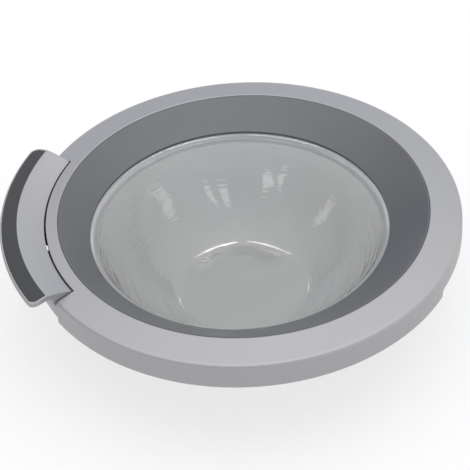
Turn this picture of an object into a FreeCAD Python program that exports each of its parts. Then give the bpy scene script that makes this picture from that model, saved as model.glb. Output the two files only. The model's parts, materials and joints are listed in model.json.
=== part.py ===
import FreeCAD, Part
import math
import os
from types import SimpleNamespace

import Sketcher

# A front-loading washing machine's door, lying on the flat end of its glass bowl with its face up.
# Millimetres. +Z is the face, -X the handle, +X the hinge, +Y the door's upper side when it is hung.
# The origin is the middle of the bowl's flat end. The round frame's axis is axis_shift to its right.

SIZES = {
    # the round frame and the height it stands at
    "edge_height": 126.5,
    "axis_shift": 4.8,
    "opening_radius": 159,
    "bezel_width": 36,
    "rim_width": 33.4,
    "rim_draft": 1.2,
    "rim_drop": 4.5,
    "frame_depth": 31.2,
    "skin": 3.0,
    "wall": 2.8,
    "edge_round": 4.0,
    "inner_round": 1.0,
    # the opening in the frame for the handle
    "gap_offset": 12,
    "opening_angle": 30.2,
    "end_wall": 2.8,
    "gap_lip": 6.0,
    "gap_lip_wall": 2.4,
    "recess_inset": 1.6,
    "recess_wall": 2.6,
    "recess_top": 14.5,
    # the lower edge of the frame, cut back on the hinge side
    "relief_angle": 37,
    "relief": 8,
    "relief_round": 3.5,
    # the dark dished ring
    "bezel_drop": 25.5,
    "bezel_wall": 3.0,
    "bezel_step": 0.8,
    "bezel_clearance": 0.4,
    "bezel_land": 1.2,
    "bezel_lip": 2.6,
    "bezel_flange_width": 6,
    "bezel_flange": 2.4,
    "bezel_flange_drop": 4.6,
    # the glass
    "glass": 5.0,
    "bowl_inset": 5,
    "bowl_rim_round": 8,
    "bowl_end_radius": 72,
    "bowl_curve": 170,
    "bowl_end_round": 6,
    "flange_width": 13,
    # the rear ring
    "plate": 2.5,
    "plate_inset": 0.2,
    "plate_clearance": 0.5,
    "collar_offset": 5,
    "collar_wall": 2.5,
    "trough_width": 9,
    "trough_depth": 5.3,
    "rib_wall": 2.0,
    "rib_count": 16,
    # screws between the two frames
    "screw_inset": 16.6,
    "screw_first_angle": 50,
    "screw_step_angle": 20,
    "boss_radius": 4.0,
    "screw_radius": 1.6,
    "screw_clearance": 0.5,
    "screw_length": 14,
    "screw_head_radius": 3.6,
    "screw_head": 2.3,
    # the lever and its grip
    "handle_gap": 2.2,
    "end_gap_angle": 0.4,
    "lever_wall": 2.6,
    "lever_rise": 7.2,
    "crest_offset": 7,
    "crest_width": 0.6,
    "crest_curve": 90,
    "grip_width": 16.1,
    "grip_border": 2.2,
    "lip_drop": 2.8,
    "lip_curve": 80,
    "lip_thickness": 5.2,
    "lip_nose": 1.4,
    "skirt_depth": 9.0,
    "corner_angle": 2.3,
    "grip": 1.8,
    "grip_edge_angle": 0.5,
    "grip_corner": 7.5,
    # the pin that the lever and hook turn on
    "pin_inset": 13.8,
    "pin_drop": 9.5,
    "pin_radius": 2.0,
    "running_fit": 0.05,
    "ear_radius": 4.0,
    "ear_place": 35,
    "ear_wall": 3.5,
    "arm_wall": 3.5,
    "arm_clearance": 0.5,
    "clip_radius": 4.4,
    "clip_wall": 0.8,
    "clip_mouth": 2.6,
    # the hook
    "hook_width": 16,
    "hook_hub_radius": 5.5,
    "hook_shank": 7,
    "hook_reach": 66,
    "hook_neck_drop": 24,
    "hook_offset": 5,
    "hook_nose": 12,
    "hook_nose_height": 7,
    "hook_travel": 12,
    "slot_clearance": 1.5,
    # the torsion springs
    "spring_wire_radius": 0.6,
    "spring_radius": 3.9,
    "spring_pitch": 1.6,
    "spring_turns": 5,
    "spring_gap": 3.5,
    "spring_foot": 9,
    "spring_clearance": 0.3,
    # the hinge
    "hinge_inset": 12.6,
    "hinge_drop": 21,
    "hinge_pin_radius": 3.0,
    "bush_wall": 1.5,
    "bush_flange_radius": 6.4,
    "hinge_ear_radius": 6.2,
    "hinge_ear_wall": 6.0,
    "hinge_ear_place": 27,
    "support_plate": 3.0,
    "support_drop": 10,
    "support_reach": 17,
    "support_beyond": 3,
    "support_end": 10,
    "support_corner": 6,
    "support_screw_reach": 10,
    "support_screw_margin": 5,
    "support_screw_length": 8,
    "eye_radius": 5.5,
    "neck": 4.4,
    "neck_width": 10,
    "neck_place": 13,
    "neck_reach": 14,
    "bracket_plate": 2.5,
    "bracket_drop": 39,
    "bracket_depth": 24,
    "bracket_length": 94,
    "bracket_corner": 5,
    "bolt_hole_radius": 3.2,
    "bolt_spacing": 72,
    "bolt_margin": 9,
    "notch_clearance": 2.5,
}

DEGREES_PER_RADIAN = 180 / math.pi
RUNS_PER_TURN = 12
WIRE_SIDES = 6

doc = FreeCAD.newDocument("washing_machine_door")


class Size:
    """A number that keeps its sheet formula, so that a sum of sizes can be bound as well as used."""

    def __init__(self, value, formula):
        self.value = value
        self.formula = formula

    def __add__(self, other):
        other = as_size(other)
        return Size(self.value + other.value, f"({self.formula} + {other.formula})")

    def __sub__(self, other):
        other = as_size(other)
        return Size(self.value - other.value, f"({self.formula} - {other.formula})")

    def __mul__(self, other):
        other = as_size(other)
        return Size(self.value * other.value, f"({self.formula} * {other.formula})")

    def __truediv__(self, other):
        other = as_size(other)
        return Size(self.value / other.value, f"({self.formula} / {other.formula})")

    def __neg__(self):
        return Size(-self.value, f"(-1 * {self.formula})")


def as_size(item):
    """A plain number as a size."""
    return item if isinstance(item, Size) else Size(float(item), repr(float(item)))


def cosine(angle):
    return Size(math.cos(math.radians(angle.value)), f"cos({angle.formula})")


def sine(angle):
    return Size(math.sin(math.radians(angle.value)), f"sin({angle.formula})")


def other_leg(long_side, leg):
    """The third side of a right-angled triangle."""
    leg = as_size(leg)
    value = math.sqrt(long_side.value ** 2 - leg.value ** 2)
    return Size(value, f"sqrt({long_side.formula} ^ 2 - {leg.formula} ^ 2)")


def long_side(leg, other):
    """The longest side of a right-angled triangle."""
    value = math.sqrt(leg.value ** 2 + other.value ** 2)
    return Size(value, f"sqrt({leg.formula} ^ 2 + {other.formula} ^ 2)")


def write_sheet():
    """The driving dimensions, as a sheet whose cells have the sizes' names."""
    sheet = doc.addObject("Spreadsheet::Sheet", "Sizes")
    for row, (name, number) in enumerate(SIZES.items(), start=1):
        sheet.set(f"A{row}", name)
        sheet.set(f"B{row}", str(number))
        sheet.setAlias(f"B{row}", name)
    doc.recompute()
    return SimpleNamespace(**{name: Size(float(sheet.get(name)), f"Sizes.{name}") for name in SIZES})


# Building helpers

def new_body(label):
    """A body whose own origin is on the round frame's axis."""
    body = doc.addObject("PartDesign::Body", label)
    body.Label = label
    body.setExpression("Placement.Base.x", s.axis_shift.formula)
    return body


def sketch_on(body, name, role, across=0, lift=0):
    """A sketch on one of the body's origin planes, moved across and along the plane's normal."""
    sketch = body.newObject("Sketcher::SketchObject", name)
    plane = next(item for item in body.Origin.OriginFeatures if item.Role == role)
    sketch.AttachmentSupport = [(plane, "")]
    sketch.MapMode = "FlatFace"
    sketch.setExpression("AttachmentOffset.Base.x", as_size(across).formula)
    sketch.setExpression("AttachmentOffset.Base.z", as_size(lift).formula)
    return sketch


def arc_centre(start, end, radius):
    """The centre of the shorter arc from start to end; a positive radius turns anticlockwise."""
    chord = end - start
    rise = math.sqrt(max(radius ** 2 - chord.Length ** 2 / 4, 0.0))
    left = FreeCAD.Vector(-chord.y, chord.x, 0).normalize()
    return (start + end) * 0.5 + left * math.copysign(rise, radius)


def outline(sketch, corners):
    """A closed outline. A corner's third item is the radius of the arc that ends there, signed by its turn."""
    corners = [tuple(as_size(item) for item in corner) for corner in corners]
    places = [FreeCAD.Vector(corner[0].value, corner[1].value, 0) for corner in corners]
    first = sketch.GeometryCount
    joints, limits = [], []
    ends = []
    for index, corner in enumerate(corners):
        start, end = places[index - 1], places[index]
        number = first + index
        if len(corner) == 2:
            sketch.addGeometry(Part.LineSegment(start, end))
            ends.append((1, 2))
            continue
        radius = corner[2].value
        centre = arc_centre(start, end, radius)
        from_point, to_point = (start, end) if radius > 0 else (end, start)
        angles = [math.atan2(point.y - centre.y, point.x - centre.x) for point in (from_point, to_point)]
        circle = Part.Circle(centre, FreeCAD.Vector(0, 0, 1), abs(radius))
        sketch.addGeometry(Part.ArcOfCircle(circle, angles[0], angles[1]))
        ends.append((1, 2) if radius > 0 else (2, 1))
        bound = corner[2] if radius > 0 else -corner[2]
        limits.append((Sketcher.Constraint("Radius", number, abs(radius)), bound))
    for index, corner in enumerate(corners):
        number = first + index
        following = first + (index + 1) % len(corners)
        end = ends[index][1]
        start = ends[(index + 1) % len(corners)][0]
        joints.append(Sketcher.Constraint("Coincident", number, end, following, start))
        limits.append((Sketcher.Constraint("DistanceX", -1, 1, number, end, corner[0].value), corner[0]))
        limits.append((Sketcher.Constraint("DistanceY", -1, 1, number, end, corner[1].value), corner[1]))
    sketch.addConstraint(joints)
    bind(sketch, limits)


def disc(sketch, x, y, radius):
    """A circle at a bound place."""
    x, y, radius = as_size(x), as_size(y), as_size(radius)
    centre = FreeCAD.Vector(x.value, y.value, 0)
    number = sketch.addGeometry(Part.Circle(centre, FreeCAD.Vector(0, 0, 1), radius.value))
    bind(sketch, [
        (Sketcher.Constraint("Radius", number, radius.value), radius),
        (Sketcher.Constraint("DistanceX", -1, 1, number, 3, x.value), x),
        (Sketcher.Constraint("DistanceY", -1, 1, number, 3, y.value), y),
    ])


def bind(sketch, limits):
    """Adds the constraints and ties each to its formula."""
    first = sketch.ConstraintCount
    sketch.addConstraint([limit for limit, formula in limits])
    for index, (limit, bound) in enumerate(limits):
        sketch.setExpression(f"Constraints[{first + index}]", bound.formula)


def handle_sector(sketch, inner, outer, half_angle):
    """A piece of a ring, centred on the handle side."""
    across, up = cosine(half_angle), sine(half_angle)
    outline(sketch, [
        (-(outer * across), outer * up),
        (-(outer * across), -(outer * up), outer),
        (-(inner * across), -(inner * up)),
        (-(inner * across), inner * up, -inner),
    ])


def rectangle(sketch, left, bottom, right, top):
    outline(sketch, [(left, bottom), (right, bottom), (right, top), (left, top)])


def pad(body, name, sketch, length, symmetric=False):
    feature = body.newObject("PartDesign::Pad", name)
    feature.Profile = sketch
    feature.setExpression("Length", as_size(length).formula)
    feature.SideType = "Symmetric" if symmetric else "One side"
    return feature


def pocket(body, name, sketch, length, upward=False, symmetric=False):
    feature = body.newObject("PartDesign::Pocket", name)
    feature.Profile = sketch
    feature.setExpression("Length", as_size(length).formula)
    feature.Reversed = upward
    feature.SideType = "Symmetric" if symmetric else "One side"
    return feature


def turn(body, name, sketch, angle=360, cut=False):
    """A revolution about the sketch's upright axis, evenly to both sides of the sketch."""
    feature = body.newObject("PartDesign::Groove" if cut else "PartDesign::Revolution", name)
    feature.Profile = sketch
    feature.ReferenceAxis = (sketch, ["V_Axis"])
    feature.setExpression("Angle", as_size(angle).formula)
    feature.Midplane = True
    return feature


def round_edges(body, name, radius, wanted):
    """A fillet on the edges of the body that are wanted."""
    doc.recompute()
    base = body.Tip
    names = [f"Edge{index}" for index, edge in enumerate(base.Shape.Edges, start=1) if wanted(edge)]
    feature = body.newObject("PartDesign::Fillet", name)
    feature.Base = (base, names)
    feature.setExpression("Radius", radius.formula)
    return feature


def circle_at(radius, height):
    """A test for a round edge of this radius at this height."""
    def wanted(edge):
        if not isinstance(edge.Curve, Part.Circle):
            return False
        same_size = abs(edge.Curve.Radius - radius.value) < 0.01
        return same_size and abs(edge.Curve.Center.z - height.value) < 0.01
    return wanted


def upright_at(radius):
    """A test for the straight upright edges at this distance from the axis."""
    def wanted(edge):
        if not isinstance(edge.Curve, Part.Line) or abs(edge.Curve.Direction.z) < 0.99:
            return False
        middle = edge.CenterOfMass
        return abs(math.hypot(middle.x, middle.y) - radius.value) < 0.05
    return wanted


def across_wall(angle, heights):
    """A test for the straight edges that cross the outer wall at these heights, at this angle to both sides."""
    def wanted(edge):
        middle = edge.CenterOfMass
        if not isinstance(edge.Curve, Part.Line) or min(abs(middle.z - height.value) for height in heights) > 0.01:
            return False
        turned = math.degrees(math.atan2(abs(middle.y), middle.x))
        return abs(turned - angle.value) < 0.01 and middle.Length > rim_inner_radius.value
    return wanted


s = write_sheet()

# Radii, each stepped off from its neighbour

rim_inner_radius = s.opening_radius + s.bezel_width
rim_top_radius = rim_inner_radius + s.rim_width
rim_base_radius = rim_top_radius + s.rim_draft
gap_radius = rim_inner_radius + s.gap_offset
recess_radius = rim_top_radius - s.recess_inset
bezel_flange_radius = rim_inner_radius + s.bezel_flange_width
bowl_rim_radius = s.opening_radius - s.bowl_inset
flange_radius = s.opening_radius + s.flange_width
collar_radius = s.opening_radius + s.collar_offset
trough_radius = flange_radius + s.trough_width
screw_circle = rim_base_radius - s.screw_inset
crest_inner_radius = rim_top_radius + s.crest_offset
crest_outer_radius = crest_inner_radius + s.crest_width
grip_radius = crest_outer_radius + s.grip_width
lip_radius = grip_radius + s.grip_border
pin_circle = recess_radius - s.pin_inset
hinge_circle = rim_base_radius - s.hinge_inset

# Levels and places that several pieces share

edge = s.edge_height
base = edge - s.frame_depth
over = s.wall
plate_bottom = base + s.plate_inset
plate_top = plate_bottom + s.plate
bowl_x = -s.axis_shift
lip_bottom = edge - s.bezel_drop - s.bezel_lip
flange_top = lip_bottom
flange_bottom = flange_top - s.glass
collar_bottom = flange_bottom - s.trough_depth
lever_angle = s.opening_angle - s.end_gap_angle
web_angle = s.end_wall / gap_radius * DEGREES_PER_RADIAN
lever_inner = gap_radius + s.handle_gap
crest = edge + s.lever_rise
lip_top = crest - s.lip_drop
pin_x = -pin_circle
pin_z = edge - s.pin_drop
ear_outside = s.ear_place + s.ear_wall
arm_outside = s.ear_place - s.arm_clearance
hinge_z = edge - s.hinge_drop
support_top = edge - s.support_drop
support_bottom = support_top - s.support_plate
bracket_bottom = edge - s.bracket_drop
neck_x = hinge_circle - s.neck_reach
hinge_ear_outside = s.hinge_ear_place + s.hinge_ear_wall
support_inner = hinge_circle - s.support_reach
support_outer = hinge_circle + s.support_beyond
support_half_length = hinge_ear_outside + s.support_end
support_screw_x = hinge_circle - s.support_screw_reach
support_screw_y = support_half_length - s.support_screw_margin
bush_radius = s.hinge_pin_radius + s.running_fit + s.bush_wall
screw_angles = [s.screw_first_angle + s.screw_step_angle * step for step in range(5)]
screw_places = [(screw_circle * cosine(angle), screw_circle * sine(angle)) for angle in screw_angles]
screw_places += [(x, -y) for x, y in screw_places]
support_places = [(support_screw_x, as_size(0)), (support_screw_x, support_screw_y),
                  (support_screw_x, -support_screw_y)]
# each pair of like pieces beside the pins: its name and the side of the door it is on
SIDES = (("upper", 1), ("lower", -1))


def rim_face(radius):
    """The height of the frame's sloping face at a radius."""
    return edge - s.rim_drop * (radius - rim_inner_radius) / (rim_top_radius - rim_inner_radius)


def lever_face(radius):
    """The height of the straight line under the lever's curved face, between the gap and the crest."""
    start = rim_face(lever_inner)
    return start + (crest - start) * (radius - lever_inner) / (crest_inner_radius - lever_inner)


def side_lift(side, near, far):
    """How far a sketch on the XZ plane is lifted so that its pad fills from near to far on that side."""
    return -far if side > 0 else near


# The frames, the dished ring and the glass

def front_frame():
    body = new_body("front_frame")
    profile = sketch_on(body, "rim_profile", "XZ_Plane")
    outline(profile, [
        (rim_inner_radius, edge),
        (rim_inner_radius, base),
        (rim_base_radius, base),
        (rim_top_radius, edge - s.rim_drop),
    ])
    turn(body, "rim", profile)
    round_edges(body, "rim_edge", s.edge_round, circle_at(rim_top_radius, edge - s.rim_drop))
    round_edges(body, "inner_edge", s.inner_round, circle_at(rim_inner_radius, edge))

    # the ring is open behind; webs close it on both sides of the handle
    hollow = sketch_on(body, "hollow_profile", "XZ_Plane")
    outline(hollow, [
        (rim_inner_radius - over, edge - s.skin),
        (rim_inner_radius - over, base - over),
        (rim_base_radius - s.wall, base - over),
        (rim_base_radius - s.wall, base),
        (rim_top_radius - s.wall, edge - s.rim_drop - s.skin),
        (rim_inner_radius, edge - s.skin),
    ])
    turn(body, "hollow", hollow, as_size(360) - (s.opening_angle + web_angle) * 2, cut=True)
    lip_inside = gap_radius - s.gap_lip_wall
    channel = sketch_on(body, "channel_profile", "XZ_Plane")
    outline(channel, [
        (rim_inner_radius - over, edge - s.skin),
        (rim_inner_radius - over, base - over),
        (lip_inside, base - over),
        (lip_inside, rim_face(lip_inside) - s.skin),
        (rim_inner_radius, edge - s.skin),
    ])
    turn(body, "channel", channel, cut=True)
    chamber = sketch_on(body, "chamber_profile", "XZ_Plane")
    rectangle(chamber, -(recess_radius - s.recess_wall), base - over, -(lip_inside - over), edge - s.gap_lip)
    turn(body, "chamber", chamber, s.opening_angle * 2, cut=True)

    seat = sketch_on(body, "plate_seat_profile", "XZ_Plane")
    rectangle(seat, lip_inside - over, base - over, recess_radius - s.recess_wall,
              plate_top + s.screw_clearance)
    turn(body, "plate_seat", seat, cut=True)

    # the handle's opening, and the recess for the fingers below it
    opening = sketch_on(body, "opening_outline", "XY_Plane", lift=edge + over)
    handle_sector(opening, gap_radius, rim_base_radius + over, s.opening_angle)
    pocket(body, "opening", opening, s.recess_top + over)
    recess = sketch_on(body, "recess_outline", "XY_Plane", lift=edge + over)
    handle_sector(recess, recess_radius, rim_base_radius + over, s.opening_angle)
    pocket(body, "recess", recess, s.frame_depth + over * 2)

    # the lower edge stays clear of the front panel as the door swings
    relief = sketch_on(body, "relief_profile", "XZ_Plane")
    rectangle(relief, rim_top_radius - s.wall - over, base - over, rim_base_radius + over, base + s.relief)
    turn(body, "relief", relief, s.relief_angle * 2, cut=True)
    round_edges(body, "relief_ends", s.relief_round, across_wall(s.relief_angle, (base, base + s.relief)))

    # screw bosses
    bosses = sketch_on(body, "boss_circles", "XY_Plane", lift=plate_top)
    bores = sketch_on(body, "boss_bores", "XY_Plane", lift=plate_top)
    for x, y in screw_places:
        disc(bosses, x, y, s.boss_radius)
        disc(bores, x, y, s.screw_radius)
    pad(body, "bosses", bosses, rim_face(screw_circle) - s.skin / 2 - plate_top)
    pocket(body, "bores", bores, s.screw_length + s.screw_clearance, upward=True)
    hinge_bosses = sketch_on(body, "hinge_boss_circles", "XY_Plane", lift=support_top)
    hinge_bores = sketch_on(body, "hinge_boss_bores", "XY_Plane", lift=support_top)
    for x, y in support_places:
        disc(hinge_bosses, x, y, s.boss_radius)
        disc(hinge_bores, x, y, s.screw_radius)
    pad(body, "hinge_bosses", hinge_bosses, rim_face(support_screw_x) - s.skin / 2 - support_top)
    bore_depth = s.support_screw_length - s.support_plate + s.screw_clearance
    pocket(body, "hinge_bores", hinge_bores, bore_depth, upward=True)

    # ears that carry the handle's pin, standing on the recess wall
    ear_middle = s.ear_place + s.ear_wall / 2
    root = other_leg(recess_radius - s.recess_wall / 2, ear_middle)
    for name, side in SIDES:
        lift = side_lift(side, s.ear_place, ear_outside)
        web = sketch_on(body, f"ear_web_{name}", "XZ_Plane", lift=lift)
        rectangle(web, -root, plate_top + s.screw_clearance, pin_x + s.ear_radius, pin_z)
        pad(body, f"web_{name}", web, s.ear_wall)
        ear = sketch_on(body, f"ear_circle_{name}", "XZ_Plane", lift=lift)
        disc(ear, pin_x, pin_z, s.ear_radius)
        pad(body, f"ear_{name}", ear, s.ear_wall)
    pin_hole = sketch_on(body, "pin_hole_circle", "XZ_Plane")
    disc(pin_hole, pin_x, pin_z, s.pin_radius + s.running_fit)
    pocket(body, "pin_hole", pin_hole, (ear_outside + over) * 2, symmetric=True)


def bezel_ring():
    """A dish between two circles that aren't concentric, so its wall is lofted."""
    body = new_body("bezel_ring")
    top = edge - s.bezel_step
    rim = rim_inner_radius - s.bezel_clearance
    bottom = edge - s.bezel_drop
    outer_top = sketch_on(body, "outer_top", "XY_Plane", lift=top - s.bezel_wall)
    disc(outer_top, 0, 0, rim)
    outer_bottom = sketch_on(body, "outer_bottom", "XY_Plane", across=bowl_x, lift=lip_bottom)
    disc(outer_bottom, 0, 0, s.opening_radius + s.bezel_wall)
    dish = body.newObject("PartDesign::AdditiveLoft", "dish")
    dish.Profile = outer_bottom
    dish.Sections = [outer_top]
    dish.Ruled = True
    collar = sketch_on(body, "collar_circle", "XY_Plane", lift=top - s.bezel_wall)
    disc(collar, 0, 0, rim)
    pad(body, "collar", collar, s.bezel_wall)
    flange = sketch_on(body, "flange_circle", "XY_Plane", lift=edge - s.bezel_flange_drop - s.bezel_flange)
    disc(flange, 0, 0, bezel_flange_radius)
    pad(body, "flange", flange, s.bezel_flange)

    inner_top = sketch_on(body, "inner_top", "XY_Plane", lift=top)
    disc(inner_top, 0, 0, rim - s.bezel_land)
    inner_bottom = sketch_on(body, "inner_bottom", "XY_Plane", across=bowl_x, lift=bottom)
    disc(inner_bottom, 0, 0, s.opening_radius)
    inside = body.newObject("PartDesign::SubtractiveLoft", "inside")
    inside.Profile = inner_bottom
    inside.Sections = [inner_top]
    inside.Ruled = True
    mouth = sketch_on(body, "mouth_circle", "XY_Plane", across=bowl_x, lift=bottom)
    disc(mouth, 0, 0, s.opening_radius)
    pocket(body, "mouth", mouth, s.bezel_lip + over)


def glass_bowl():
    """A pressed bowl: flat end, curved wall, flat flange."""
    body = new_body("glass_bowl")
    profile = sketch_on(body, "bowl_profile", "XZ_Plane", across=bowl_x)
    outline(profile, [
        (0, 0),
        (s.bowl_end_radius + s.glass / 2, 0),
        (bowl_rim_radius + s.glass - s.glass / 4, flange_bottom, s.bowl_curve + s.glass),
        (flange_radius, flange_bottom),
        (flange_radius, flange_top),
        (bowl_rim_radius, flange_top),
        (s.bowl_end_radius, s.glass, -s.bowl_curve),
        (0, s.glass),
    ])
    turn(body, "bowl", profile)
    round_edges(body, "end_edge", s.bowl_end_round + s.glass,
                circle_at(s.bowl_end_radius + s.glass / 2, as_size(0)))
    round_edges(body, "inner_end_edge", s.bowl_end_round, circle_at(s.bowl_end_radius, s.glass))
    round_edges(body, "rim_edge", s.bowl_rim_round, circle_at(bowl_rim_radius, flange_top))
    round_edges(body, "outer_rim_edge", s.bowl_rim_round - s.glass,
                circle_at(bowl_rim_radius + s.glass - s.glass / 4, flange_bottom))


def rear_frame():
    body = new_body("rear_frame")
    ring = sketch_on(body, "ring_circle", "XY_Plane", lift=plate_bottom)
    disc(ring, 0, 0, rim_base_radius - s.wall - s.plate_clearance)
    disc(ring, bowl_x, 0, trough_radius - s.collar_wall / 2)
    pad(body, "ring", ring, s.plate)

    # a trough round the glass, whose inner wall carries the flange
    profile = sketch_on(body, "trough_profile", "XZ_Plane", across=bowl_x)
    floor = collar_bottom + s.collar_wall
    outline(profile, [
        (collar_radius, flange_bottom),
        (collar_radius, collar_bottom),
        (trough_radius, collar_bottom),
        (trough_radius, plate_top),
        (trough_radius - s.collar_wall, plate_top),
        (trough_radius - s.collar_wall, floor),
        (collar_radius + s.collar_wall, floor),
        (collar_radius + s.collar_wall, flange_bottom),
    ])
    turn(body, "trough", profile)
    round_edges(body, "trough_edge", s.collar_wall * 0.8, circle_at(trough_radius, collar_bottom))
    rib = sketch_on(body, "rib_outline", "XY_Plane", across=bowl_x, lift=floor)
    rectangle(rib, collar_radius + s.collar_wall / 2, -(s.rib_wall / 2),
              trough_radius - s.collar_wall / 2, s.rib_wall / 2)
    first_rib = pad(body, "rib", rib, flange_bottom - floor)
    doc.recompute()
    ribs = body.newObject("PartDesign::PolarPattern", "ribs")
    ribs.Originals = [first_rib]
    ribs.Axis = (rib, ["N_Axis"])
    ribs.Angle = 360
    ribs.setExpression("Occurrences", s.rib_count.formula)
    body.Tip = ribs

    holes = sketch_on(body, "screw_holes_circles", "XY_Plane", lift=plate_top)
    for x, y in screw_places:
        disc(holes, x, y, s.screw_radius + s.screw_clearance)
    pocket(body, "screw_holes", holes, s.plate)
    trim = sketch_on(body, "handle_trim_outline", "XY_Plane", lift=plate_top)
    trim_radius = recess_radius - s.recess_wall - s.plate_clearance
    handle_sector(trim, trim_radius, rim_base_radius + over, s.opening_angle + web_angle * 2)
    pocket(body, "handle_trim", trim, s.plate)
    slot = sketch_on(body, "hook_slot_outline", "XY_Plane", lift=plate_top)
    shank_outer = pin_x + s.hook_offset
    half_slot = s.hook_width / 2 + s.slot_clearance
    rectangle(slot, shank_outer - s.hook_travel, -half_slot,
              shank_outer + s.hook_shank + s.slot_clearance, half_slot)
    pocket(body, "hook_slot", slot, s.plate)
    for name, side in SIDES:
        notch = sketch_on(body, f"notch_outline_{name}", "XY_Plane", lift=plate_top)
        near = s.neck_place - s.notch_clearance
        far = s.neck_place + s.neck_width + s.notch_clearance
        bottom, top = (near, far) if side > 0 else (-far, -near)
        rectangle(notch, neck_x - s.neck / 2 - s.notch_clearance, bottom, rim_base_radius + over, top)
        pocket(body, f"notch_{name}", notch, s.plate)


# The handle, its hook and their pin

def cut_corners(body):
    """Rounds the lever's two outer corners."""
    spread = s.corner_angle
    radius = lip_radius * sine(spread) / (sine(spread) + 1)
    beyond = lever_angle + spread
    far = lip_radius + over
    along = (lip_radius - radius) * cosine(spread)
    for name, side in SIDES:
        sketch = sketch_on(body, f"corner_outline_{name}", "XY_Plane", lift=crest + over)

        def polar(distance, angle):
            return -(distance * cosine(angle)), distance * sine(angle) * side

        outline(sketch, [
            polar(along, lever_angle),
            polar(lip_radius, lever_angle - spread) + (radius * side,),
            polar(far, lever_angle - spread),
            polar(far, beyond),
            polar(along, beyond),
        ])
        pocket(body, f"corner_{name}", sketch, s.frame_depth)


def handle_lever():
    body = new_body("handle_lever")
    under_lip = lip_top - s.lip_thickness
    profile = sketch_on(body, "lever_profile", "XZ_Plane")
    outline(profile, [
        (-lever_inner, rim_face(lever_inner)),
        (-crest_inner_radius, crest, s.crest_curve),
        (-crest_outer_radius, crest),
        (-grip_radius, lip_top, s.lip_curve),
        (-(lip_radius - s.lip_nose), lip_top),
        (-lip_radius, lip_top - s.lip_nose),
        (-lip_radius, under_lip + s.lip_nose),
        (-(lip_radius - s.lip_nose), under_lip),
        (-crest_outer_radius, crest - s.lip_thickness, -s.lip_curve),
        (-(rim_top_radius + s.lever_wall), crest - s.lip_thickness - s.lip_nose),
        (-rim_top_radius, edge - s.skirt_depth, s.crest_curve),
        (-(lever_inner + s.lever_wall), edge - s.skirt_depth),
        (-lever_inner, rim_face(lever_inner) - s.lever_wall * 2),
    ])
    turn(body, "lever", profile, lever_angle * 2)
    hollow = sketch_on(body, "lever_hollow_profile", "XZ_Plane")
    outline(hollow, [
        (-(lever_inner - over), rim_face(lever_inner) - s.lever_wall),
        (-lever_inner, rim_face(lever_inner) - s.lever_wall),
        (-(rim_top_radius - s.lever_wall), lever_face(rim_top_radius - s.lever_wall) - s.lever_wall),
        (-(rim_top_radius - s.lever_wall), edge - s.skirt_depth - over),
        (-(lever_inner - over), edge - s.skirt_depth - over),
    ])
    end_angle = s.lever_wall / lever_inner * DEGREES_PER_RADIAN
    turn(body, "lever_hollow", hollow, (lever_angle - end_angle) * 2, cut=True)
    seat = sketch_on(body, "grip_seat_profile", "XZ_Plane")
    outline(seat, [
        (-crest_outer_radius, crest + over),
        (-crest_outer_radius, crest - s.grip),
        (-grip_radius, lip_top - s.grip, s.lip_curve),
        (-grip_radius, crest + over),
    ])
    turn(body, "grip_seat", seat, (lever_angle - s.grip_edge_angle) * 2, cut=True)
    round_edges(body, "seat_corners", s.grip_corner, upright_at(grip_radius))
    cut_corners(body)

    # arms down to the pin
    arm_middle = arm_outside - s.arm_wall / 2
    near = long_side(pin_circle - s.ear_radius / 2, arm_middle)
    far = long_side(pin_circle + s.ear_radius, arm_middle)
    for name, side in SIDES:
        lift = side_lift(side, arm_outside - s.arm_wall, arm_outside)
        web = sketch_on(body, f"arm_web_{name}", "XZ_Plane", lift=lift)
        outline(web, [
            (pin_x - s.ear_radius, pin_z),
            (pin_x + s.ear_radius / 2, pin_z),
            (pin_x + s.ear_radius / 2, lever_face(near) - s.lever_wall / 2),
            (pin_x - s.ear_radius, lever_face(far) - s.lever_wall / 2),
        ])
        pad(body, f"arm_{name}", web, s.arm_wall)
        eye = sketch_on(body, f"arm_circle_{name}", "XZ_Plane", lift=lift)
        disc(eye, pin_x, pin_z, s.ear_radius)
        pad(body, f"arm_eye_{name}", eye, s.arm_wall)
    hole = sketch_on(body, "arm_hole_circle", "XZ_Plane")
    disc(hole, pin_x, pin_z, s.pin_radius + s.running_fit)
    pocket(body, "arm_hole", hole, arm_outside * 2 + over, symmetric=True)


def handle_grip():
    body = new_body("handle_grip")
    profile = sketch_on(body, "grip_profile", "XZ_Plane")
    outline(profile, [
        (-crest_outer_radius, crest),
        (-grip_radius, lip_top, s.lip_curve),
        (-grip_radius, lip_top - s.grip),
        (-crest_outer_radius, crest - s.grip, -s.lip_curve),
    ])
    turn(body, "grip", profile, (lever_angle - s.grip_edge_angle) * 2)
    round_edges(body, "grip_corners", s.grip_corner, upright_at(grip_radius))


def latch_hook():
    """A hub on the handle's pin, a shank through the rear frame and a nose turned towards the glass."""
    body = new_body("latch_hook")
    tip = edge - s.hook_reach
    neck = edge - s.hook_neck_drop
    outer = pin_x + s.hook_offset
    inner = outer + s.hook_shank
    shank = sketch_on(body, "shank_outline", "XZ_Plane")
    outline(shank, [
        (pin_x - s.hook_hub_radius * 0.6, pin_z - s.hook_hub_radius * 0.7),
        (outer, neck),
        (outer, tip + s.hook_nose_height),
        (outer + s.hook_nose_height, tip, s.hook_nose_height),
        (inner + s.hook_nose / 2, tip),
        (inner + s.hook_nose, tip + s.hook_nose_height),
        (inner, tip + s.hook_nose_height * 1.4),
        (inner, neck),
        (pin_x + s.hook_hub_radius * 0.7, pin_z + s.hook_hub_radius * 0.6),
    ])
    pad(body, "shank", shank, s.hook_width, symmetric=True)
    hub = sketch_on(body, "hub_circle", "XZ_Plane")
    disc(hub, pin_x, pin_z, s.hook_hub_radius)
    pad(body, "hub", hub, s.hook_width, symmetric=True)
    bore = sketch_on(body, "hub_bore_circle", "XZ_Plane")
    disc(bore, pin_x, pin_z, s.pin_radius + s.running_fit)
    pocket(body, "hub_bore", bore, s.hook_width + over, symmetric=True)


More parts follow.
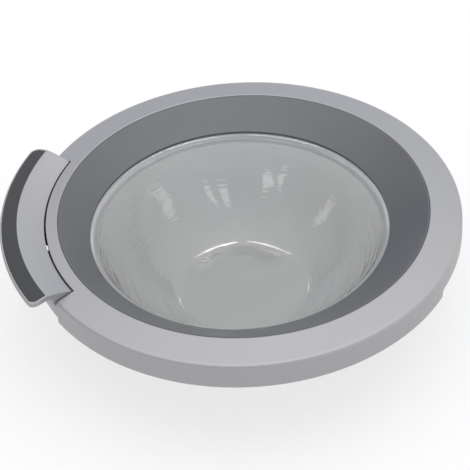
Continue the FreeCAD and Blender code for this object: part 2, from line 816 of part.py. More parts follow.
def cross_pin(label, x, z, radius, half_length):
    """A plain pin across the door."""
    pin = doc.addObject("Part::Cylinder", label)
    pin.Label = label
    pin.setExpression("Radius", radius.formula)
    pin.setExpression("Height", (half_length * 2).formula)
    pin.Placement.Rotation = FreeCAD.Rotation(FreeCAD.Vector(1, 0, 0), 90)
    pin.setExpression("Placement.Base.x", (x + s.axis_shift).formula)
    pin.setExpression("Placement.Base.y", half_length.formula)
    pin.setExpression("Placement.Base.z", z.formula)


def pin_clips(label, x, z, radius, place, mouth_side):
    """Two open retaining rings, one beyond each ear, with their mouths to one side."""
    body = new_body(label)
    ring_radius = radius + s.clip_radius - s.pin_radius
    for name, side in SIDES:
        lift = side_lift(side, place, place + s.clip_wall)
        ring = sketch_on(body, f"clip_circle_{name}", "XZ_Plane", lift=lift)
        disc(ring, x, z, ring_radius)
        disc(ring, x, z, radius)
        pad(body, f"clip_{name}", ring, s.clip_wall)
    mouth = sketch_on(body, "mouth_outline", "XZ_Plane")
    half_mouth = s.clip_mouth / 2
    far = x + (ring_radius + over) * mouth_side
    left, right = (x, far) if mouth_side > 0 else (far, x)
    rectangle(mouth, left, z - half_mouth, right, z + half_mouth)
    pocket(body, "mouths", mouth, (place + over) * 2, symmetric=True)


def torsion_spring(label, side, leg_up, leg_down, foot):
    """A coil round the handle's pin with two straight legs; a foot at the lower leg's end crosses the hook.

    The wire has a few flat sides and each turn a few straight runs, so that the coil stays light.
    """
    radius = s.spring_radius.value
    wire = s.spring_wire_radius.value
    steps = int(s.spring_turns.value) * RUNS_PER_TURN
    path = []
    for step in range(steps + 1):
        angle = 2 * math.pi * step / RUNS_PER_TURN
        height = s.spring_pitch.value * step / RUNS_PER_TURN
        path.append(FreeCAD.Vector(radius * math.cos(angle), side * radius * math.sin(angle), height))
    path.insert(0, path[0] - FreeCAD.Vector(0, side * leg_down.value, 0))
    path.append(path[-1] + FreeCAD.Vector(0, side * leg_up.value, 0))
    if foot:
        path.insert(0, path[0] - FreeCAD.Vector(0, 0, foot.value))
    across = FreeCAD.Vector(1, 0, 0)
    upward = (path[1] - path[0]).normalize().cross(across)
    turns = [2 * math.pi * number / WIRE_SIDES for number in range(WIRE_SIDES + 1)]
    corners = [path[0] + across * (wire * math.cos(turn)) + upward * (wire * math.sin(turn)) for turn in turns]
    spring = doc.addObject("Part::Feature", label)
    spring.Label = label
    spring.Shape = Part.makePolygon(path).makePipeShell([Part.makePolygon(corners)], True, False, 1)
    # the coil's axis lies along the pin, its legs on the outer side, the first end towards the hook
    inner_end = (s.hook_width / 2 + s.spring_gap).value
    x_axis = FreeCAD.Vector(-1, 0, 0)
    z_axis = FreeCAD.Vector(0, side, 0)
    y_axis = z_axis.cross(x_axis)
    turned = FreeCAD.Rotation(x_axis, y_axis, z_axis, "ZXY")
    place = FreeCAD.Vector((pin_x + s.axis_shift).value, side * inner_end, pin_z.value)
    spring.Placement = FreeCAD.Placement(place, turned)


# The hinge

def hinge_support():
    body = new_body("hinge_support")
    carrier = sketch_on(body, "carrier_outline", "XY_Plane", lift=support_bottom)
    half = support_half_length
    cut = s.support_corner
    outline(carrier, [
        (support_inner, -half),
        (support_outer - cut, -half),
        (support_outer, -half + cut),
        (support_outer, half - cut),
        (support_outer - cut, half),
        (support_inner, half),
    ])
    for x, y in support_places:
        disc(carrier, x, y, s.screw_radius + s.screw_clearance)
    pad(body, "carrier", carrier, s.support_plate)
    for name, side in SIDES:
        lift = side_lift(side, s.hinge_ear_place, hinge_ear_outside)
        web = sketch_on(body, f"support_web_{name}", "XZ_Plane", lift=lift)
        rectangle(web, hinge_circle - s.hinge_ear_radius, hinge_z,
                  hinge_circle + s.hinge_ear_radius * 0.4, support_bottom)
        pad(body, f"support_ear_{name}", web, s.hinge_ear_wall)
        eye = sketch_on(body, f"support_circle_{name}", "XZ_Plane", lift=lift)
        disc(eye, hinge_circle, hinge_z, s.hinge_ear_radius)
        pad(body, f"support_eye_{name}", eye, s.hinge_ear_wall)
    bore = sketch_on(body, "support_bore_circle", "XZ_Plane")
    disc(bore, hinge_circle, hinge_z, bush_radius)
    pocket(body, "support_bore", bore, (hinge_ear_outside + over) * 2, symmetric=True)


def hinge_bush(label, side):
    """A flanged bush, pressed into an ear from the inner side."""
    body = new_body(label)
    inside = s.neck_place + s.neck_width + s.running_fit * 4
    flange = sketch_on(body, "flange_circle", "XZ_Plane", lift=side_lift(side, inside, s.hinge_ear_place))
    disc(flange, hinge_circle, hinge_z, s.bush_flange_radius)
    pad(body, "flange", flange, s.hinge_ear_place - inside)
    sleeve = sketch_on(body, "sleeve_circle", "XZ_Plane",
                       lift=side_lift(side, s.hinge_ear_place, hinge_ear_outside))
    disc(sleeve, hinge_circle, hinge_z, bush_radius)
    pad(body, "sleeve", sleeve, s.hinge_ear_wall)
    bore = sketch_on(body, "bore_circle", "XZ_Plane")
    disc(bore, hinge_circle, hinge_z, s.hinge_pin_radius + s.running_fit)
    pocket(body, "bore", bore, (hinge_ear_outside + over) * 2, symmetric=True)


def hinge_bracket():
    """A plate for the front panel with two swan necks that reach round the frame's lower edge to the pin."""
    body = new_body("hinge_bracket")
    outer = neck_x + s.neck / 2
    inner = outer - s.bracket_depth
    half = s.bracket_length / 2
    cut = s.bracket_corner
    plate = sketch_on(body, "bracket_outline", "XY_Plane", lift=bracket_bottom)
    outline(plate, [
        (inner, -half + cut),
        (inner + cut, -half, cut),
        (outer, -half),
        (outer, half),
        (inner + cut, half),
        (inner, half - cut, cut),
    ])
    for side in (1, -1):
        disc(plate, inner + s.bolt_margin, s.bolt_spacing / 2 * side, s.bolt_hole_radius)
    pad(body, "bracket", plate, s.bracket_plate)
    half_neck = s.neck / 2
    for name, side in SIDES:
        lift = side_lift(side, s.neck_place, s.neck_place + s.neck_width)
        neck = sketch_on(body, f"neck_outline_{name}", "XZ_Plane", lift=lift)
        outline(neck, [
            (hinge_circle, hinge_z + half_neck),
            (neck_x + half_neck, hinge_z + half_neck),
            (neck_x - half_neck, hinge_z - half_neck, s.neck),
            (neck_x - half_neck, bracket_bottom),
            (neck_x + half_neck, bracket_bottom),
            (neck_x + half_neck, hinge_z - half_neck),
            (hinge_circle, hinge_z - half_neck),
        ])
        pad(body, f"neck_{name}", neck, s.neck_width)
        eye = sketch_on(body, f"neck_circle_{name}", "XZ_Plane", lift=lift)
        disc(eye, hinge_circle, hinge_z, s.eye_radius)
        pad(body, f"eye_{name}", eye, s.neck_width)
    bore = sketch_on(body, "eye_bore_circle", "XZ_Plane")
    disc(bore, hinge_circle, hinge_z, s.hinge_pin_radius + s.running_fit)
    pocket(body, "eye_bore", bore, (s.neck_place + s.neck_width + over) * 2, symmetric=True)


# The screws, as groups of separate solids

def screw_group(label, places, head_top, length):
    """Pan-head screws, driven upwards from behind the door."""
    body = new_body(label)
    heads = sketch_on(body, "head_circles", "XY_Plane", lift=head_top - s.screw_head)
    shanks = sketch_on(body, "shank_circles", "XY_Plane", lift=head_top - s.screw_head)
    for x, y in places:
        disc(heads, x, y, s.screw_head_radius)
        disc(shanks, x, y, s.screw_radius - s.running_fit)
    pad(body, "heads", heads, s.screw_head)
    pad(body, "shanks", shanks, s.screw_head + length)


def build():
    front_frame()
    bezel_ring()
    glass_bowl()
    rear_frame()
    handle_lever()
    handle_grip()
    latch_hook()
    cross_pin("handle_pin", pin_x, pin_z, s.pin_radius, ear_outside + s.clip_wall * 2)
    pin_clips("handle_clips", pin_x, pin_z, s.pin_radius, ear_outside, -1)
    leg_up = lever_face(pin_circle + s.spring_radius) - s.lever_wall - s.spring_clearance - pin_z
    leg_down = pin_z - plate_top - s.spring_clearance
    torsion_spring("handle_spring", 1, leg_up, leg_down, None)
    torsion_spring("hook_spring", -1, leg_up, s.hook_hub_radius, s.spring_foot)
    hinge_support()
    hinge_bush("hinge_bush_upper", 1)
    hinge_bush("hinge_bush_lower", -1)
    cross_pin("hinge_pin", hinge_circle, hinge_z, s.hinge_pin_radius, hinge_ear_outside + s.clip_wall * 2)
    pin_clips("hinge_clips", hinge_circle, hinge_z, s.hinge_pin_radius, hinge_ear_outside, -1)
    hinge_bracket()
    screw_group("frame_screws", screw_places, plate_bottom, s.screw_length)
    screw_group("hinge_screws", support_places, support_bottom, s.support_screw_length)
    doc.recompute()


def sub_parts():
    kinds = ("PartDesign::Body", "Part::Cylinder", "Part::Feature")
    return [item for item in doc.Objects if item.TypeId in kinds]


def check():
    for item in doc.Objects:
        if "Invalid" in item.State or "Error" in item.State:
            raise RuntimeError(f"{item.Label} failed: {item.State}")
    for part in sub_parts():
        if part.Shape.isNull() or not part.Shape.isValid():
            raise RuntimeError(f"{part.Label} has no valid shape")


def write():
    os.makedirs("parts", exist_ok=True)
    for part in sub_parts():
        part.Shape.exportStep(f"parts/{part.Label}.step")
        print(f"{part.Label}: {len(part.Shape.Solids)} solid(s), {part.Shape.Volume / 1000:.2f} cm3")


build()
check()
write()
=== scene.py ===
import json
import math

import bmesh
import bpy
import numpy as np
from mathutils import Matrix, Vector


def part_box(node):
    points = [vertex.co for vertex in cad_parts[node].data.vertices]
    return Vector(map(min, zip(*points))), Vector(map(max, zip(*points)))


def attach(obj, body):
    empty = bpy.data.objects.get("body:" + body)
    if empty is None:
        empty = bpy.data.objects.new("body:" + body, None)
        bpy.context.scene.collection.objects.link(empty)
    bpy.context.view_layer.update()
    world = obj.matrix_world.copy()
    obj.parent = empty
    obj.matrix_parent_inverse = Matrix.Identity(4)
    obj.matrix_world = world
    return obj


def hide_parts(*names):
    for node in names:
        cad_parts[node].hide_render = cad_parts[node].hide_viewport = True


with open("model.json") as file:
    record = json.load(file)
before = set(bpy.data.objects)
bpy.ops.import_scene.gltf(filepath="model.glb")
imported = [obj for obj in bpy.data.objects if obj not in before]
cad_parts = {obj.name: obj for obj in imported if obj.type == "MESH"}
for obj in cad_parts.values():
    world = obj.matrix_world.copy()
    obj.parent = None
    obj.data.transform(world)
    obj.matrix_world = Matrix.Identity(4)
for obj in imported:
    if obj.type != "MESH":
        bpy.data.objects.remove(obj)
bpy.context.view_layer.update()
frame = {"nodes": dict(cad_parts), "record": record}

# Lengths are in metres, in the part's own frame: the door lies on the flat end of its bowl with its face up,
# the handle to -X, the hinge to +X.

MM = 0.001
EDGE = 126.5 * MM              # height of the round frame's inner edge
AXIS = 4.8 * MM                # the round frame's axis, to the right of the bowl's
PIN = (-208.2 * MM, 117 * MM)  # the handle's pin: x and z
WIRE = 0.6 * MM                # radius of the springs' wire


# Materials

def linear(code):
    """An sRGB hex colour as the linear colour that the shaders take."""
    part = np.array([int(code[i:i + 2], 16) for i in (1, 3, 5)]) / 255
    return (*np.where(part <= 0.04045, part / 12.92, ((part + 0.055) / 1.055) ** 2.4), 1.0)


def add(tree, kind, inputs=None, **settings):
    """One node: its settings, then its inputs, each a value or another node's output."""
    node = tree.nodes.new(kind)
    for name, value in settings.items():
        setattr(node, name, value)
    for name, value in (inputs or {}).items():
        if isinstance(value, bpy.types.NodeSocket):
            tree.links.new(value, node.inputs[name])
        else:
            node.inputs[name].default_value = value
    return node


def new_material(name):
    """An empty node material, its tree and the Object coordinates that its patterns lie on."""
    material = bpy.data.materials.new(name)
    material.use_nodes = True
    tree = material.node_tree
    tree.nodes.clear()
    return material, tree, add(tree, "ShaderNodeTexCoord").outputs["Object"]


def per(millimetres):
    """The scale of a pattern whose grains are this far apart."""
    return 1 / (millimetres * MM)


def silver_painted_abs():
    """Moulded ABS under satin silver paint: the flakes give a fine sparkle and a soft, broad gloss, and the
    shade drifts a little over the part. Real flakes are 0.03 mm wide; they are drawn at 1.1 mm so that they
    show."""
    material, tree, place = new_material("silver_painted_abs")
    flake = add(tree, "ShaderNodeTexNoise", {"Vector": place, "Scale": per(1.1), "Detail": 2.0})
    drift = add(tree, "ShaderNodeTexNoise", {"Vector": place, "Scale": per(60), "Detail": 2.0})
    both = add(tree, "ShaderNodeMix", {"Factor": 0.4, "A": flake.outputs["Fac"], "B": drift.outputs["Fac"]})
    shade = add(tree, "ShaderNodeMix", {
        "Factor": both.outputs["Result"], "A": linear("#b0b0b0"), "B": linear("#bababa")}, data_type="RGBA")
    gloss = add(tree, "ShaderNodeMapRange", {"Value": both.outputs["Result"], "To Min": 0.36, "To Max": 0.46})
    bump = add(tree, "ShaderNodeBump", {
        "Height": flake.outputs["Fac"], "Strength": 0.04, "Distance": 0.1 * MM})
    shader = add(tree, "ShaderNodeBsdfPrincipled", {
        "Base Color": shade.outputs["Result"], "Metallic": 0.5, "Roughness": gloss.outputs["Result"],
        "Normal": bump.outputs["Normal"]})
    add(tree, "ShaderNodeOutputMaterial", {"Surface": shader.outputs["BSDF"]})
    return material


def flake_filled_dark_abs():
    """Dark grey ABS with fine aluminium flake in it, from a polished mould: a soft metallic gloss, an even
    colour and the faint orange peel, about 3 mm from crest to crest, that such mouldings have."""
    material, tree, place = new_material("flake_filled_dark_abs")
    peel = add(tree, "ShaderNodeTexNoise", {"Vector": place, "Scale": per(3), "Detail": 1.0})
    drift = add(tree, "ShaderNodeTexNoise", {"Vector": place, "Scale": per(45), "Detail": 3.0})
    shade = add(tree, "ShaderNodeMix", {
        "Factor": drift.outputs["Fac"], "A": linear("#747577"), "B": linear("#7c7d7f")}, data_type="RGBA")
    gloss = add(tree, "ShaderNodeMapRange", {"Value": drift.outputs["Fac"], "To Min": 0.30, "To Max": 0.40})
    bump = add(tree, "ShaderNodeBump", {
        "Height": peel.outputs["Fac"], "Strength": 0.05, "Distance": 0.1 * MM})
    shader = add(tree, "ShaderNodeBsdfPrincipled", {
        "Base Color": shade.outputs["Result"], "Metallic": 0.45, "Roughness": gloss.outputs["Result"],
        "Specular IOR Level": 0.1, "Normal": bump.outputs["Normal"]})
    add(tree, "ShaderNodeOutputMaterial", {"Surface": shader.outputs["BSDF"]})
    return material


def pressed_glass():
    """Pressed soda-lime glass, fire polished: clear with a grey cast. Its walls keep the slow waves of the
    gob that was pressed, 40 mm apart, and the rings of the turned mould, 3.5 mm apart, so mirrored windows
    break up in streaks. The rim's rounding keeps a satin skin from the mould's parting ring, which scatters
    light: it is where the height less half the radius passes 16 mm."""
    material, tree, place = new_material("pressed_glass")
    slow = add(tree, "ShaderNodeTexNoise", {
        "Vector": place, "Scale": per(40), "Detail": 0.0, "Distortion": 0.5})
    level = add(tree, "ShaderNodeMapping", {"Vector": place, "Scale": (0.05, 0.05, 1.0)})
    rings = add(tree, "ShaderNodeTexNoise", {
        "Vector": level.outputs["Vector"], "Scale": per(3.5), "Detail": 1.0})
    height = add(tree, "ShaderNodeMix", {"Factor": 0.28, "A": slow.outputs["Fac"], "B": rings.outputs["Fac"]})
    bump = add(tree, "ShaderNodeBump", {
        "Height": height.outputs["Result"], "Strength": 1.0, "Distance": 1.6 * MM})
    split = add(tree, "ShaderNodeSeparateXYZ", {"Vector": place})
    flat = add(tree, "ShaderNodeVectorMath", {0: place, 1: (1.0, 1.0, 0.0)}, operation="MULTIPLY")
    radius = add(tree, "ShaderNodeVectorMath", {0: flat.outputs["Vector"]}, operation="LENGTH")
    lift = add(tree, "ShaderNodeMath", {0: radius.outputs["Value"], 1: -0.5, 2: split.outputs["Z"]},
               operation="MULTIPLY_ADD")
    rim = add(tree, "ShaderNodeMapRange", {
        "Value": lift.outputs[0], "From Min": 14.8 * MM, "From Max": 17.2 * MM},
        interpolation_type="SMOOTHSTEP")
    tint = add(tree, "ShaderNodeMix", {
        "Factor": rim.outputs["Result"], "A": linear("#b2b3b3"), "B": linear("#a2a3a3")}, data_type="RGBA")
    gloss = add(tree, "ShaderNodeMapRange", {"Value": rim.outputs["Result"], "To Min": 0.01, "To Max": 0.07})
    clear = add(tree, "ShaderNodeMapRange", {"Value": rim.outputs["Result"], "To Min": 1.0, "To Max": 0.3})
    shader = add(tree, "ShaderNodeBsdfPrincipled", {
        "Base Color": tint.outputs["Result"], "Roughness": gloss.outputs["Result"], "IOR": 1.52,
        "Transmission Weight": clear.outputs["Result"], "Normal": bump.outputs["Normal"]})
    add(tree, "ShaderNodeOutputMaterial", {"Surface": shader.outputs["BSDF"]})
    return material


def eroded_grey_polypropylene():
    """Light grey polypropylene from a spark-eroded mould: matt, with a fine grain. The grain is 0.3 mm wide
    on the real ring and is drawn at 0.9 mm so that it shows."""
    material, tree, place = new_material("eroded_grey_polypropylene")
    grain = add(tree, "ShaderNodeTexNoise", {"Vector": place, "Scale": per(0.9), "Detail": 3.0})
    flow = add(tree, "ShaderNodeTexNoise", {
        "Vector": place, "Scale": per(35), "Detail": 2.0, "Distortion": 0.8})
    shade = add(tree, "ShaderNodeMix", {
        "Factor": flow.outputs["Fac"], "A": linear("#c0c0be"), "B": linear("#cbcbc9")}, data_type="RGBA")
    gloss = add(tree, "ShaderNodeMapRange", {"Value": grain.outputs["Fac"], "To Min": 0.45, "To Max": 0.65})
    bump = add(tree, "ShaderNodeBump", {
        "Height": grain.outputs["Fac"], "Strength": 0.2, "Distance": 0.15 * MM})
    shader = add(tree, "ShaderNodeBsdfPrincipled", {
        "Base Color": shade.outputs["Result"], "Roughness": gloss.outputs["Result"], "IOR": 1.49,
        "Normal": bump.outputs["Normal"]})
    add(tree, "ShaderNodeOutputMaterial", {"Surface": shader.outputs["BSDF"]})
    return material


def grained_dark_elastomer():
    """Dark grey elastomer moulded on a fine leather-like grain: dull, with a soft sheen at a glance along it.
    The grain's cells are 0.5 mm wide on the real grip and are drawn at 1.2 mm so that they show."""
    material, tree, place = new_material("grained_dark_elastomer")
    cells = add(tree, "ShaderNodeTexVoronoi", {"Vector": place, "Scale": per(1.2)}, feature="SMOOTH_F1")
    dust = add(tree, "ShaderNodeTexNoise", {"Vector": place, "Scale": per(18), "Detail": 4.0})
    shade = add(tree, "ShaderNodeMix", {
        "Factor": dust.outputs["Fac"], "A": linear("#393a3a"), "B": linear("#444545")}, data_type="RGBA")
    gloss = add(tree, "ShaderNodeMapRange", {"Value": dust.outputs["Fac"], "To Min": 0.5, "To Max": 0.64})
    bump = add(tree, "ShaderNodeBump", {
        "Height": cells.outputs["Distance"], "Strength": 0.25, "Distance": 0.15 * MM})
    shader = add(tree, "ShaderNodeBsdfPrincipled", {
        "Base Color": shade.outputs["Result"], "Roughness": gloss.outputs["Result"], "IOR": 1.48,
        "Sheen Weight": 0.08, "Normal": bump.outputs["Normal"]})
    add(tree, "ShaderNodeOutputMaterial", {"Surface": shader.outputs["BSDF"]})
    return material


def bright_zinc_plating():
    """Steel screws with bright, clear-passivated zinc: a bluish silver with faint straw patches, 2.5 mm
    apart, rather glossy."""
    material, tree, place = new_material("bright_zinc_plating")
    patch = add(tree, "ShaderNodeTexNoise", {"Vector": place, "Scale": per(2.5), "Detail": 3.0})
    shade = add(tree, "ShaderNodeMix", {
        "Factor": patch.outputs["Fac"], "A": linear("#b4b9bf"), "B": linear("#c1bda9")}, data_type="RGBA")
    gloss = add(tree, "ShaderNodeMapRange", {"Value": patch.outputs["Fac"], "To Min": 0.24, "To Max": 0.42})
    shader = add(tree, "ShaderNodeBsdfPrincipled", {
        "Base Color": shade.outputs["Result"], "Metallic": 1.0, "Roughness": gloss.outputs["Result"]})
    add(tree, "ShaderNodeOutputMaterial", {"Surface": shader.outputs["BSDF"]})
    return material


def ground_steel():
    """Centreless-ground steel pin: fine rings across its length from the wheel. They are 0.05 mm apart on the
    real pin and are drawn at 0.6 mm so that they show. The pins lie along Y."""
    material, tree, place = new_material("ground_steel")
    along = add(tree, "ShaderNodeMapping", {"Vector": place, "Scale": (0.02, 1.0, 0.02)})
    rings = add(tree, "ShaderNodeTexNoise", {
        "Vector": along.outputs["Vector"], "Scale": per(0.6), "Detail": 3.0})
    shade = add(tree, "ShaderNodeMix", {
        "Factor": rings.outputs["Fac"], "A": linear("#9c9d9e"), "B": linear("#b3b3b1")}, data_type="RGBA")
    gloss = add(tree, "ShaderNodeMapRange", {"Value": rings.outputs["Fac"], "To Min": 0.18, "To Max": 0.36})
    bump = add(tree, "ShaderNodeBump", {
        "Height": rings.outputs["Fac"], "Strength": 0.1, "Distance": 0.05 * MM})
    shader = add(tree, "ShaderNodeBsdfPrincipled", {
        "Base Color": shade.outputs["Result"], "Metallic": 1.0, "Roughness": gloss.outputs["Result"],
        "Normal": bump.outputs["Normal"]})
    add(tree, "ShaderNodeOutputMaterial", {"Surface": shader.outputs["BSDF"]})
    return material


def drawn_spring_steel():
    """Patented spring wire and strip, drawn and oiled: dark grey with streaks of lighter bare metal, 1.5 mm
    apart."""
    material, tree, place = new_material("drawn_spring_steel")
    streak = add(tree, "ShaderNodeTexNoise", {
        "Vector": place, "Scale": per(1.5), "Detail": 4.0, "Distortion": 2.0})
    shade = add(tree, "ShaderNodeMix", {
        "Factor": streak.outputs["Fac"], "A": linear("#767778"), "B": linear("#a09f9c")}, data_type="RGBA")
    gloss = add(tree, "ShaderNodeMapRange", {"Value": streak.outputs["Fac"], "To Min": 0.25, "To Max": 0.45})
    shader = add(tree, "ShaderNodeBsdfPrincipled", {
        "Base Color": shade.outputs["Result"], "Metallic": 1.0, "Roughness": gloss.outputs["Result"]})
    add(tree, "ShaderNodeOutputMaterial", {"Surface": shader.outputs["BSDF"]})
    return material


def die_cast_zinc():
    """Zinc alloy as it leaves the die: dull grey, clouded about every 9 mm where the metal chilled as it
    flowed, with a fine skin grain, about 1 mm."""
    material, tree, place = new_material("die_cast_zinc")
    cloud = add(tree, "ShaderNodeTexNoise", {
        "Vector": place, "Scale": per(9), "Detail": 4.0, "Distortion": 1.5})
    skin = add(tree, "ShaderNodeTexNoise", {"Vector": place, "Scale": per(1), "Detail": 2.0})
    shade = add(tree, "ShaderNodeMix", {
        "Factor": cloud.outputs["Fac"], "A": linear("#8b8c8c"), "B": linear("#a9a9a6")}, data_type="RGBA")
    gloss = add(tree, "ShaderNodeMapRange", {"Value": cloud.outputs["Fac"], "To Min": 0.4, "To Max": 0.6})
    bump = add(tree, "ShaderNodeBump", {
        "Height": skin.outputs["Fac"], "Strength": 0.2, "Distance": 0.1 * MM})
    shader = add(tree, "ShaderNodeBsdfPrincipled", {
        "Base Color": shade.outputs["Result"], "Metallic": 1.0, "Roughness": gloss.outputs["Result"],
        "Normal": bump.outputs["Normal"]})
    add(tree, "ShaderNodeOutputMaterial", {"Surface": shader.outputs["BSDF"]})
    return material


def plated_steel_sheet():
    """Cold-rolled steel sheet, pressed and zinc plated: a soft metal grey with rolling lines along the
    bracket, 0.8 mm apart, and faint cloudy passivation, about 14 mm across."""
    material, tree, place = new_material("plated_steel_sheet")
    along = add(tree, "ShaderNodeMapping", {"Vector": place, "Scale": (1.0, 0.03, 1.0)})
    rolled = add(tree, "ShaderNodeTexNoise", {
        "Vector": along.outputs["Vector"], "Scale": per(0.8), "Detail": 3.0})
    cloud = add(tree, "ShaderNodeTexNoise", {"Vector": place, "Scale": per(14), "Detail": 3.0})
    shade = add(tree, "ShaderNodeMix", {
        "Factor": cloud.outputs["Fac"], "A": linear("#a0a4a8"), "B": linear("#b6b3a8")}, data_type="RGBA")
    gloss = add(tree, "ShaderNodeMapRange", {"Value": rolled.outputs["Fac"], "To Min": 0.28, "To Max": 0.46})
    bump = add(tree, "ShaderNodeBump", {
        "Height": rolled.outputs["Fac"], "Strength": 0.1, "Distance": 0.05 * MM})
    shader = add(tree, "ShaderNodeBsdfPrincipled", {
        "Base Color": shade.outputs["Result"], "Metallic": 1.0, "Roughness": gloss.outputs["Result"],
        "Normal": bump.outputs["Normal"]})
    add(tree, "ShaderNodeOutputMaterial", {"Surface": shader.outputs["BSDF"]})
    return material


def natural_acetal():
    """Unpigmented acetal, moulded: milky off-white that lets a little light in, smooth, with a slightly waxy
    gloss."""
    material, tree, place = new_material("natural_acetal")
    milk = add(tree, "ShaderNodeTexNoise", {"Vector": place, "Scale": per(6), "Detail": 2.0})
    shade = add(tree, "ShaderNodeMix", {
        "Factor": milk.outputs["Fac"], "A": linear("#dedacd"), "B": linear("#e8e5da")}, data_type="RGBA")
    gloss = add(tree, "ShaderNodeMapRange", {"Value": milk.outputs["Fac"], "To Min": 0.34, "To Max": 0.46})
    shader = add(tree, "ShaderNodeBsdfPrincipled", {
        "Base Color": shade.outputs["Result"], "Roughness": gloss.outputs["Result"], "IOR": 1.48,
        "Subsurface Weight": 0.15, "Subsurface Scale": 1.0 * MM})
    add(tree, "ShaderNodeOutputMaterial", {"Surface": shader.outputs["BSDF"]})
    return material


# Surfaces

def grid_faces(rows, columns, first):
    """The four-sided faces of a grid of points, row after row, whose last column meets its first."""
    row = np.arange(rows - 1)[:, None] * columns + first
    column = np.arange(columns)[None, :]
    after = (column + 1) % columns
    faces = np.stack([row + column, row + after, row + columns + after, row + columns + column], axis=-1)
    return faces.reshape(-1, 4)


def make_piece(name, grids, body, slot, node, sharp=35):
    """A piece from grids of points, merged where they meet. It rides on a body and stands for a CAD node."""
    starts = np.cumsum([0] + [grid.shape[0] * grid.shape[1] for grid in grids])
    points = np.concatenate([grid.reshape(-1, 3) for grid in grids])
    faces = np.concatenate([grid_faces(grid.shape[0], grid.shape[1], start)
                            for grid, start in zip(grids, starts)])
    mesh = bpy.data.meshes.new(name)
    mesh.from_pydata(points.tolist(), [], faces.tolist())
    shell = bmesh.new()
    shell.from_mesh(mesh)
    bmesh.ops.remove_doubles(shell, verts=shell.verts, dist=1e-6)
    bmesh.ops.recalc_face_normals(shell, faces=shell.faces)
    shell.to_mesh(mesh)
    shell.free()
    mesh.shade_smooth()
    mesh.set_sharp_from_angle(angle=math.radians(sharp))
    mesh.materials.append(finishes[slot])
    piece = bpy.data.objects.new(name, mesh)
    bpy.context.scene.collection.objects.link(piece)
    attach(piece, body)
    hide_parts(node)
    return piece


def arc(centre, radius, start, end, count):
    """Points along a circle's arc between two of its points, by the shorter way."""
    first, last = (math.atan2(point[1] - centre[1], point[0] - centre[0]) for point in (start, end))
    last = first + (last - first + math.pi) % (2 * math.pi) - math.pi
    turn = np.linspace(first, last, count)
    return np.stack([centre[0] + radius * np.cos(turn), centre[1] + radius * np.sin(turn)], axis=1)


def turned(profile, columns):
    """A profile of radii and heights carried round the upright axis."""
    turn = np.linspace(0, 2 * math.pi, columns, endpoint=False)
    radius, height = profile[:, :1], profile[:, 1:]
    return np.stack([radius * np.cos(turn), radius * np.sin(turn), height + 0 * turn], axis=-1)


def wall_circle(low, high, radius):
    """The centre of the wall's circle through its lower and upper corner, on the bowl's inner side."""
    low, high = np.array(low), np.array(high)
    chord = high - low
    length = np.hypot(*chord)
    aside = np.array([-chord[1], chord[0]]) / length
    return (low + high) / 2 + aside * math.sqrt(radius ** 2 - length ** 2 / 4)


def beside_wall(centre, reach, height):
    """The centre of a rounding at a height, this far from the wall circle's centre."""
    return np.array([centre[0] + math.sqrt(reach ** 2 - (height - centre[1]) ** 2), height])


def touch(centre, radius, other):
    """The point of a circle towards another centre."""
    away = np.array(other) - np.array(centre)
    return np.array(centre) + away / np.hypot(*away) * radius


def bowl_profile():
    """The bowl's section in millimetres, from the middle of its inner floor, over the rim and round to the
    middle of its end; it is given back in metres.

    Each wall is an arc of a circle; a rounding touches the wall's circle and a level face, so its centre is
    one rounding radius off the face and the sum or difference of the two radii from the circle's centre.
    """
    floor, top, under = 5.0, 98.4, 93.4      # heights of the inner floor and of the flange's two faces
    flange, edge = 172.0, 1.2                # the flange's radius and the rounding of its edge
    inside, outside = 170.0, 175.0           # radii of the walls' circles
    heel_round, brim_round, throat_round, sole_round = 20.0, 8.0, 3.0, 25.0
    inner = wall_circle((72.0, floor), (154.0, top), inside)
    outer = wall_circle((74.5, 0.0), (157.75, under), outside)
    heel = beside_wall(inner, inside - heel_round, floor + heel_round)
    brim = beside_wall(inner, inside + brim_round, top - brim_round)
    throat = beside_wall(outer, outside + throat_round, under - throat_round)
    sole = beside_wall(outer, outside - sole_round, sole_round)
    wall_foot, wall_head = touch(inner, inside, heel), touch(inner, inside, brim)
    back_head, back_foot = touch(outer, outside, throat), touch(outer, outside, sole)
    rim = flange - edge
    runs = [
        np.linspace((0.0, floor), (heel[0], floor), 24),
        arc(heel, heel_round, (heel[0], floor), wall_foot, 16),
        arc(inner, inside, wall_foot, wall_head, 72),
        arc(brim, brim_round, wall_head, (brim[0], top), 22),
        np.linspace((brim[0], top), (rim, top), 4),
        arc((rim, top - edge), edge, (rim, top), (flange, top - edge), 6),
        arc((rim, under + edge), edge, (flange, under + edge), (rim, under), 6),
        np.linspace((rim, under), (throat[0], under), 4),
        arc(throat, throat_round, (throat[0], under), back_head, 10),
        arc(outer, outside, back_head, back_foot, 72),
        arc(sole, sole_round, back_foot, (sole[0], 0.0), 16),
        np.linspace((sole[0], 0.0), (0.0, 0.0), 24),
    ]
    return np.concatenate(runs) * MM


